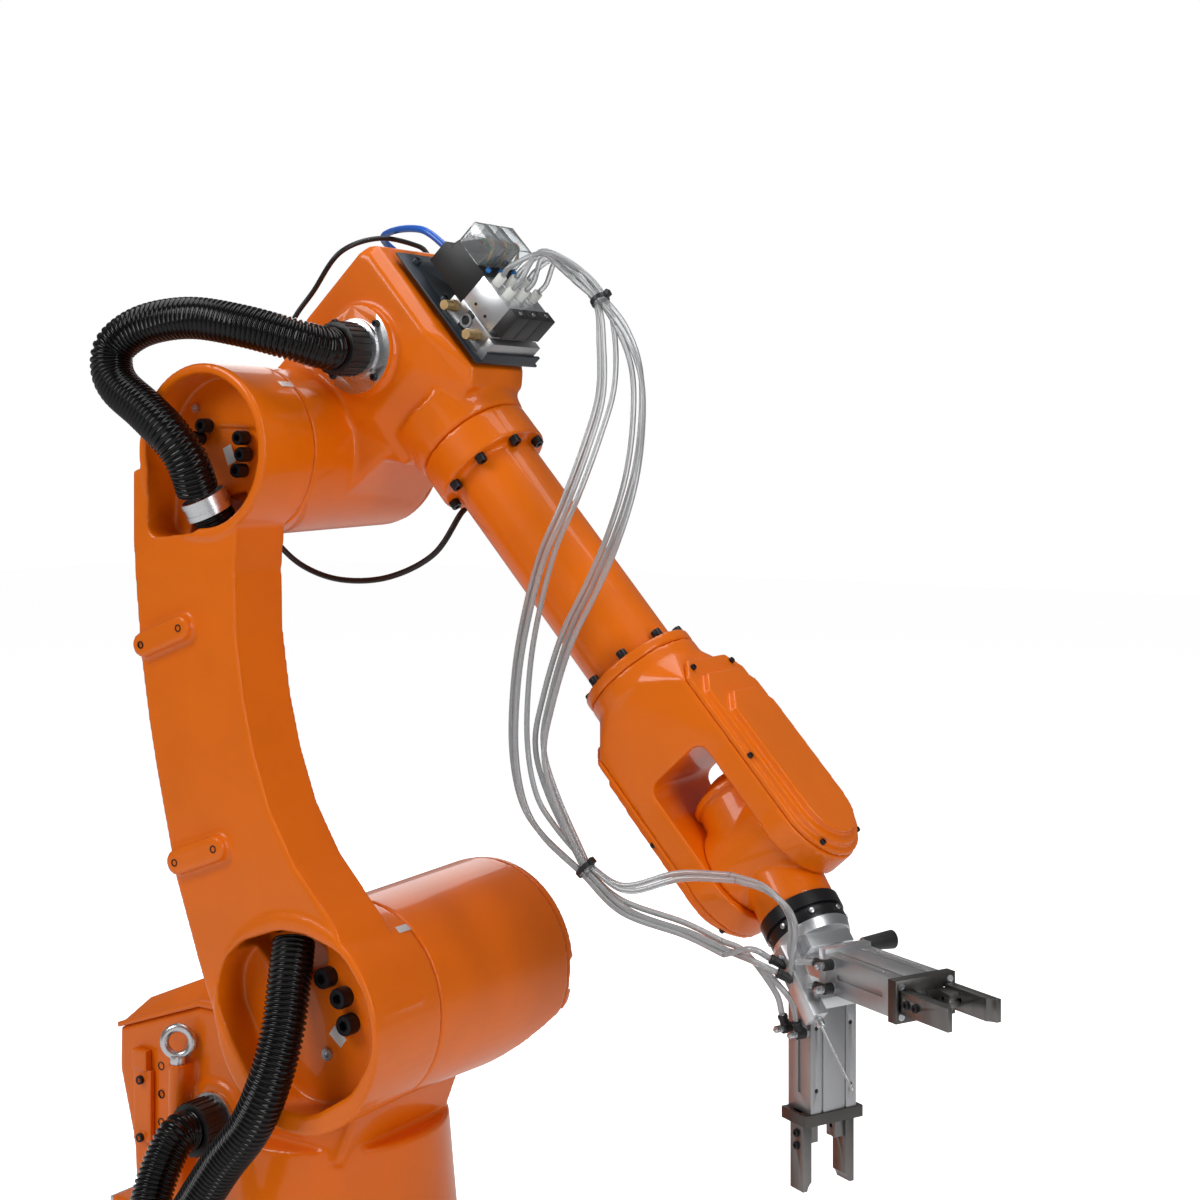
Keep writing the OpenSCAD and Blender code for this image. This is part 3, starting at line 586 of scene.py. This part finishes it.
# ---- Machined and moulded parts ----
def machined(node, mat, bevel=0.0006):
    """A machined part: the CAD shape with a fine bevel on its sharp edges."""
    obj = copy_node(node, node + "_body", mat)
    work = bmesh.new()
    work.from_mesh(obj.data)
    bmesh.ops.dissolve_limit(work, angle_limit=math.radians(1), verts=work.verts, edges=work.edges)
    work.to_mesh(obj.data)
    work.free()
    modify(obj, "BEVEL", width=bevel, segments=2, limit_method="ANGLE", angle_limit=math.radians(35),
           use_clamp_overlap=True, harden_normals=False)
    obj.data.materials.clear()
    obj.data.materials.append(mat)
    set_smooth(obj, 32)
    return obj


def paint(obj, at, mat, test):
    """Gives a material to the faces whose middle, in the frame at, passes the test."""
    obj.data.materials.append(mat)
    index = len(obj.data.materials) - 1
    back = at.inverted()
    for face in obj.data.polygons:
        if test(back @ face.center):
            face.material_index = index


MACHINED_NODES = (("connector_panel", MACHINED, "aluminium"), ("valve_bracket", BRACKET, "bracket_grey"),
                  ("valve_manifold", ANODISED, "aluminium_anodised"), ("tool_bracket", MACHINED, "aluminium"),
                  ("gripper_1_body", ANODISED, "aluminium_anodised"),
                  ("gripper_2_body", ANODISED, "aluminium_anodised"),
                  ("valve_bodies", MACHINED, "aluminium"), ("valve_coils", BLACK_PLASTIC, "black_plastic"),
                  ("terminal_covers", CLEAR_COVER, "clear_plastic"), ("blow_bar", MACHINED, "aluminium"),
                  ("elbow_gland", BLACK_PLASTIC, "black_plastic"),
                  ("tool_flange", BLACK_STEEL, "black_steel"),
                  ("clamp_handle", BLACK_PLASTIC, "black_plastic"),
                  ("gripper_1_jaw_a", TOOL_STEEL, "tool_steel"),
                  ("gripper_1_jaw_b", TOOL_STEEL, "tool_steel"),
                  ("gripper_2_jaw_a", TOOL_STEEL, "tool_steel"),
                  ("gripper_2_jaw_b", TOOL_STEEL, "tool_steel"),
                  ("lifting_eye", ZINC, "zinc_steel"), ("turret_gland", BLACK_PLASTIC, "black_plastic"))
made = {node: machined(node, mat) for node, mat, slot in MACHINED_NODES}


def shrink(obj, share):
    """Takes a little off all round, so that parts that touch in the CAD keep a hair's gap here."""
    points = [v.co.copy() for v in obj.data.vertices]
    middle = sum(points, Vector()) / len(points)
    for vertex, point in zip(obj.data.vertices, points):
        vertex.co = middle + (point - middle) * share


for jaw in ("gripper_1_jaw_a", "gripper_1_jaw_b", "gripper_2_jaw_a", "gripper_2_jaw_b"):
    shrink(made[jaw], 0.996)


def radius_of(p):
    return math.hypot(p.y, p.z)


def gland_radius(p):
    return math.hypot(p.x + 0.014, p.z + 0.004)


def split_materials():
    """Parts of one node that are different pieces in a different material."""
    paint(made["valve_bodies"], FOREARM, BLACK_PLASTIC, lambda p: p.x > 0.08802)
    paint(made["valve_bodies"], FOREARM, WHITE_PLASTIC, lambda p: p.z > 0.18015 and p.x < 0.086)
    paint(made["elbow_gland"], FOREARM, PAINT, lambda p: p.y > -0.10605 and gland_radius(p) > 0.0402)
    paint(made["elbow_gland"], FOREARM, ZINC, lambda p: p.y > -0.1111 and gland_radius(p) < 0.0405)
    paint(made["turret_gland"], ROW, ZINC, lambda p: p.y > -0.1371)
    paint(made["tool_flange"], TOOL, ZINC, lambda p: radius_of(p) > 0.04702)
    paint(made["clamp_handle"], TOOL, ZINC, lambda p: p.y < 0.0641 and math.hypot(p.x - 0.140, p.z) < 0.0052)
    paint(made["blow_bar"], TOOL, ZINC, lambda p: p.x > 0.2221)
    for side, name in ((-1, "gripper_1_body"), (1, "gripper_2_body")):
        paint(made[name], gripper_frame(side), PLATE_STEEL, lambda p: p.x > 0.16602)


split_materials()

# CAD nodes whose shape is right keep it, with a better material.
KEPT_NODES = {"foundation_bolts": ZINC, "panel_connectors": BLACK_PLASTIC, "j1_reducer": CAST_IRON,
              "slewing_bearing": BEARING, "j1_motor": MOTOR, "j2_motor": MOTOR, "j2_reducer": CAST_IRON,
              "grease_plugs": ZINC, "conduit_clamp": ZINC, "j3_reducer": CAST_IRON,
              "j3_motor": MOTOR, "j4_motor": MOTOR, "brass_silencers": BRASS,
              "wrist_motors": MOTOR,
              "wrist_belts": BELT, "wrist_flange": BLACK_STEEL}
for node, mat in KEPT_NODES.items():
    mesh = frame["nodes"][node].data
    mesh.materials.clear()
    mesh.materials.append(mat)


# ---- Screws, fittings, wires and labels ----
FLOOR_Y = -0.212
TO_FRONT = turned(-90, "Z")


def on_arm(x, y, z):
    """A place on the upper arm that points to the front."""
    return ARM @ Matrix.Translation((x, y, z)) @ TO_FRONT


def add_screws():
    rad = math.radians
    shoulder = [on_arm(0.058 * math.cos(rad(a)) - 0.004, FLOOR_Y, 0.058 * math.sin(rad(a)))
                for a in (-11, 22, 55, 175)]
    elbow = [on_arm(0.043 * math.cos(rad(a)) - 0.006, FLOOR_Y, ARM_LENGTH + 0.043 * math.sin(rad(a)))
             for a in (12, -17, -46, 115, 143)]
    big = screws("shoulder_screws", shoulder, 0.013, 0.017, BLACK_OXIDE_AND_HOLE_SHADE, "upper_arm")
    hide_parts("arm_bolts")
    screws("elbow_screws", elbow, 0.0095, 0.016, BLACK_OXIDE_AND_HOLE_SHADE, "upper_arm")
    angles = [20 + 45 * i for i in range(8)]
    ring = screws("forearm_screws", around(FOREARM, 0.20002, 0.067, angles), 0.007, 0.010, BLACK_OXIDE_AND_HOLE_SHADE,
                  "forearm")
    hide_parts("forearm_bolts")
    screws("fork_screws", around(FOREARM, 0.52798, 0.067, angles, -1), 0.0065, 0.010, BLACK_OXIDE_AND_HOLE_SHADE, "forearm")
    covers = []
    for x, y in ((0.592, 0.046), (0.720, 0.062), (0.846, 0.044)):
        for side in (-1, 1):
            for face in (-1, 1):
                covers.append(FOREARM @ Matrix.Translation((x, side * y,
                                                            face * 0.08702)) @ turned(-90 * face, "Y"))
    screws("cover_screws", covers, 0.0036, 0.004, BLACK_OXIDE_AND_HOLE_SHADE, "forearm")
    plate = [Matrix.Translation((-0.232, -0.134, z)) @ TO_FRONT for z in (0.219, 0.299)]
    screws("side_plate_screws", plate, 0.0062, 0.0072, BLACK_OXIDE_AND_HOLE_SHADE, "turret")
    for side, body in ((-1, "gripper_1_body"), (1, "gripper_2_body")):
        grip = gripper_frame(side)
        corners = [grip @ Matrix.Translation((0.1791, y, z)) for y in (-0.033, 0.033)
                   for z in (-0.0155, 0.0155)]
        screws(body + "_screws", corners, 0.0042, 0.0006, ZINC, "tool")
    for name, side, hand in (("gripper_1_jaw_a", -1, -1), ("gripper_1_jaw_b", -1, 1),
                             ("gripper_2_jaw_a", 1, -1),
                             ("gripper_2_jaw_b", 1, 1)):
        out = turned(90 * hand, "Z")
        places = [gripper_frame(side) @ Matrix.Translation((0.179 + x, hand * 0.036, 0)) @ out
                  for x in (0.012, 0.026)]
        screws(name + "_screws", places, 0.0044, 0.0025, BLACK_OXIDE_AND_HOLE_SHADE, name)


def add_inset_holes():
    """Threaded holes in the pads on the arm and in the turret's side: shallow cups whose black is a painted
    shade for the depth of the hole.
    """
    pads = [on_arm(x, -0.2682, z + (x + 0.115) * 0.13) for z in (0.502, 0.221) for x in (-0.151, -0.079)]
    side = [Matrix.Translation((-0.204, -0.1252, z)) @ TO_FRONT for z in (0.242, 0.281, 0.320)]
    for name, places, r, body in (("pad_hole", pads, 0.0036, "upper_arm"),
                                  ("side_hole", side, 0.0046, "turret")):
        for i, at in enumerate(places):
            ring = [(-0.006, r * 0.6), (-0.006, 0), (-0.005, 0), (-0.005, r * 0.8), (0.0006, r),
                    (0.0006, r + 0.0012),
                    (-0.001, r + 0.0012)]
            # The cups are black as a painted shade inside the holes.
            lathe("%s_%d" % (name, i + 1), ring, BLACK_OXIDE_AND_HOLE_SHADE, body, at, sides=24)


def add_buttons():
    """The three manual override buttons, a little thinner than their bores, with a round recess in a raised
    rim.
    """
    outline = ((0.0003, 0.0034), (0.0007, 0.0037), (0.0124, 0.0037), (0.0130, 0.0033), (0.0130, 0.0026),
               (0.0126, 0.0024))
    for i in range(3):
        at = FOREARM @ Matrix.Translation((0.020, -0.0345 + i * 0.028, 0.173)) @ turned(-90, "Y")
        button = lathe("button_%d" % (i + 1), solid_profile(*outline), BLUE_PLASTIC,
                       "override_button_%d" % (i + 1),
                       at, sides=48)
        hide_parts("override_button_%d" % (i + 1))


def add_valve_details():
    """Port ring, end cap screws, wires and terminal blocks."""
    port = FOREARM @ Matrix.Translation((0.052, -0.0502, 0.123)) @ TO_FRONT
    lathe("port_ring", [(0, 0.0062), (0.0015, 0.0062), (0.0015, 0.0095), (0, 0.0095)], ZINC, "elbow",
          port,
          sides=40)
    caps, pins, blocks_in, tabs = [], [], [], []
    for i in range(3):
        y = -0.0345 + i * 0.028
        caps.append(FOREARM @ Matrix.Translation((0.0975, y, 0.1821)) @ turned(-90, "Y"))
        blocks_in.append(((-0.031, y - 0.010, 0.1822), (-0.004, y + 0.010, 0.200)))
        tabs += [((x, y - 0.008, 0.2001), (x + 0.004, y + 0.008, 0.2020)) for x in (-0.029, -0.021)]
        for j, color in enumerate(("green", "red", "yellow")):
            dy = (j - 1) * 0.0045
            route = [(-0.018 + j * 0.004, y + dy, 0.1955), (-0.012, y + dy, 0.207),
                     (0.000, y + dy * 0.6, 0.2085),
                     (0.008, y - dy * 0.5, 0.199), (0.0085, y + dy * 0.2, 0.188), (0.006, y + 0.002, 0.183)]
            path = smooth_path([FOREARM @ Vector(q) for q in route], 0.0015)
            sweep("wire_%s_%d" % (color, i + 1), path, [0.0014] * len(path), 8, WIRE[color], "elbow")
        collars = [FOREARM @ Matrix.Translation((x, y, 0.1906)) @ turned(-90, "Y") for x in (0.042, 0.066)]
        for j, at in enumerate(collars):
            lathe("fitting_collar_%d_%d" % (i + 1, j + 1),
                  solid_profile((0, 0.0062), (0.0034, 0.0066), (0.0046, 0.006),
                  (0.0046, 0.0036)), WHITE_PLASTIC, "elbow", at, sides=24)
    for x in (0.046, 0.068):
        pins.append(FOREARM @ Matrix.Translation((x, -0.0481, 0.147)) @ TO_FRONT)
    screws("cap_screws", caps, 0.0028, 0.0018, ZINC, "elbow")
    screws("valve_screws", pins, 0.0022, 0.0006, BLACK_OXIDE_AND_HOLE_SHADE, "elbow")
    blocks("terminal_blocks", blocks_in, BLACK_PLASTIC, "elbow", FOREARM)
    blocks("terminal_tabs", tabs, ZINC, "elbow", FOREARM)
    plate = FOREARM @ Matrix.Translation((0.052, -0.0501, 0.123))
    blocks("port_plate", [((-0.006, -0.0004, -0.0135), (0.006, 0.0001, 0.0135))], BLACK_PLASTIC, "elbow",
           plate)


def add_flow_valves():
    """Elbow flow controls on the grippers: nut, body, adjusting screw and the arm that holds the tube."""
    first = None
    for k in range(6):
        at, pull = tube_socket(k)
        arm = axes(at, pull, (0.1, 0.2, 0.97))
        body = lathe("flow_valve_arm_%d" % (k + 1),
                     solid_profile((-0.002, 0.0052), (0.011, 0.0052), (0.012, 0.0048), (0.0125, 0.0058),
                     (0.0155, 0.0058), (0.0162, 0.0046)), BLACK_PLASTIC, "tool", arm,
                     sides=28)
        first = first or body
        if k >= 4:
            continue
        side = -1 if k < 2 else 1
        base = gripper_frame(side).inverted() @ at
        root = gripper_frame(side) @ Matrix.Translation((base.x, -0.0321, base.z)) @ TO_FRONT
        lathe("flow_valve_nut_%d" % (k + 1), solid_profile((0, 0.0060), (0.0030, 0.0060)), ZINC, "tool",
              root,
              sides=6)
        lathe("flow_valve_body_%d" % (k + 1),
              solid_profile((0.0030, 0.0062), (0.0135, 0.0062), (0.0145, 0.0054)),
              BLACK_PLASTIC, "tool", root, sides=28)
        lathe("flow_valve_screw_%d" % (k + 1),
              solid_profile((0.0145, 0.0042), (0.0175, 0.0042), (0.0178, 0.0030), (0.0195, 0.0030),
              (0.0198, 0.0040), (0.0235, 0.0040), (0.0240, 0.0022), (0.0258, 0.0020)), ZINC, "tool",
              root, sides=24)
    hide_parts("flow_valves")


def label(name, at, body, length=0.030, width=0.013):
    """A blank foil label, lying in the y-z plane of the frame at."""
    blocks(name, [((-0.0003, -length / 2, -width / 2), (0.0003, length / 2, width / 2))], LABEL, body,
           at,
           bevel=0.0001)


def add_labels():
    drum = axes(SHOULDER, (0, -1, 0), (1, 0, 0))
    top = axes(ELBOW, (0, -1, 0), (1, 0, 0))
    arm_plates = (("label_floor_1", on_arm(0.026, FLOOR_Y - 0.0004, -0.026) @ turned(-50, "X")),
                  ("label_floor_2", on_arm(0.004, FLOOR_Y - 0.0004, ARM_LENGTH - 0.006) @ turned(-80, "X")))
    for name, at in arm_plates:
        label(name, at, "upper_arm", 0.024, 0.015)
    for name, center, radius, depth, angle, body in (("label_seam_1", drum, 0.1303, 0.142, -36, "upper_arm"),
                                                     ("label_seam_2", top, 0.1119, 0.179, -40, "upper_arm")):
        at = center @ turned(angle, "X") @ Matrix.Translation((depth, 0, radius)) @ turned(-90, "Y")
        label(name, at, body, 0.010, 0.022)


def add_gland_ribs():
    """Grip ribs round the two conduit nuts."""
    for name, at, r, body in (("elbow_gland_ribs", FOREARM @ Matrix.Translation((-0.014, 0, -0.004)),
                               0.0340, "elbow"),
                              ("turret_gland_ribs", Matrix.Translation((-0.097, 0, 0.266)), 0.0350,
                               "turret")):
        depth = (0.114, 0.146) if body == "elbow" else (0.140, 0.174)
        verts, faces = [], []
        for i in range(24):
            turn = at @ turned(15 * i, "Y")
            base = len(verts)
            for y in depth:
                for x, z in ((-0.0017, r - 0.001), (0.0017, r - 0.001), (0.0011, r + 0.0014),
                             (-0.0011, r + 0.0014)):
                    verts.append(turn @ Vector((x, -y, z)))
            for j in range(4):
                faces.append((base + j, base + (j + 1) % 4, base + 4 + (j + 1) % 4, base + 4 + j))
            faces.append((base, base + 1, base + 2, base + 3))
            faces.append((base + 7, base + 6, base + 5, base + 4))
        piece(name, verts, faces, BLACK_PLASTIC, body, smooth=False)


add_screws()
add_inset_holes()
add_buttons()
add_valve_details()
add_flow_valves()
add_labels()
add_gland_ribs()


# ---- Stage ----
def add_stage():
    floor_mat = material("floor", (0.90, 0.90, 0.90), roughness=0.75, grain=40, bump=0.01, tint=0.01)
    shader = floor_mat.node_tree.nodes["Principled BSDF"]
    shader.inputs["Emission Color"].default_value = (1, 1, 1, 1)
    nodes, links = floor_mat.node_tree.nodes, floor_mat.node_tree.links
    ray = nodes.new("ShaderNodeLightPath")
    glow = nodes.new("ShaderNodeMapRange")
    glow.inputs["To Min"].default_value = 0.05
    glow.inputs["To Max"].default_value = 0.85
    links.new(ray.outputs["Is Camera Ray"], glow.inputs["Value"])
    links.new(glow.outputs["Result"], shader.inputs["Emission Strength"])
    work = bmesh.new()
    bmesh.ops.create_grid(work, x_segments=2, y_segments=2, size=14)
    mesh = bpy.data.meshes.new("floor")
    work.to_mesh(mesh)
    work.free()
    floor = bpy.data.objects.new("floor", mesh)
    bpy.context.scene.collection.objects.link(floor)
    mesh.materials.append(floor_mat)


def area_light(name, at, aim, size, power):
    light = bpy.data.lights.new(name, "AREA")
    light.shape = "RECTANGLE"
    light.size, light.size_y = size
    light.energy = power
    obj = bpy.data.objects.new(name, light)
    bpy.context.scene.collection.objects.link(obj)
    obj.location = at
    obj.rotation_euler = (Vector(aim) - Vector(at)).to_track_quat("-Z", "Y").to_euler()


def add_lights():
    """Soft boxes that give long highlights, and a world that is white to the camera and dimmer as a light."""
    middle = (0.3, 0, 0.8)
    area_light("key", (-1.2, -2.4, 2.9), middle, (1.5, 1.5), 48)
    area_light("strip", (2.6, -0.9, 1.9), middle, (0.5, 2.4), 26)
    area_light("fill", (1.6, -3.4, 1.0), middle, (2.5, 2.0), 9)
    area_light("top", (0.5, 0.4, 3.6), middle, (2.4, 1.6), 36)
    area_light("back", (-1.6, 2.2, 2.0), middle, (1.5, 2.0), 18)
    world = bpy.data.worlds.new("world")
    bpy.context.scene.world = world
    world.use_nodes = True
    nodes, links = world.node_tree.nodes, world.node_tree.links
    ray = nodes.new("ShaderNodeLightPath")
    level = nodes.new("ShaderNodeMapRange")
    level.inputs["To Min"].default_value = 0.15
    level.inputs["To Max"].default_value = 1.0
    links.new(ray.outputs["Is Camera Ray"], level.inputs["Value"])
    nodes["Background"].inputs["Color"].default_value = (1, 1, 1, 1)
    links.new(level.outputs["Result"], nodes["Background"].inputs["Strength"])
    bpy.context.scene.view_settings.view_transform = "Standard"


add_stage()
add_lights()
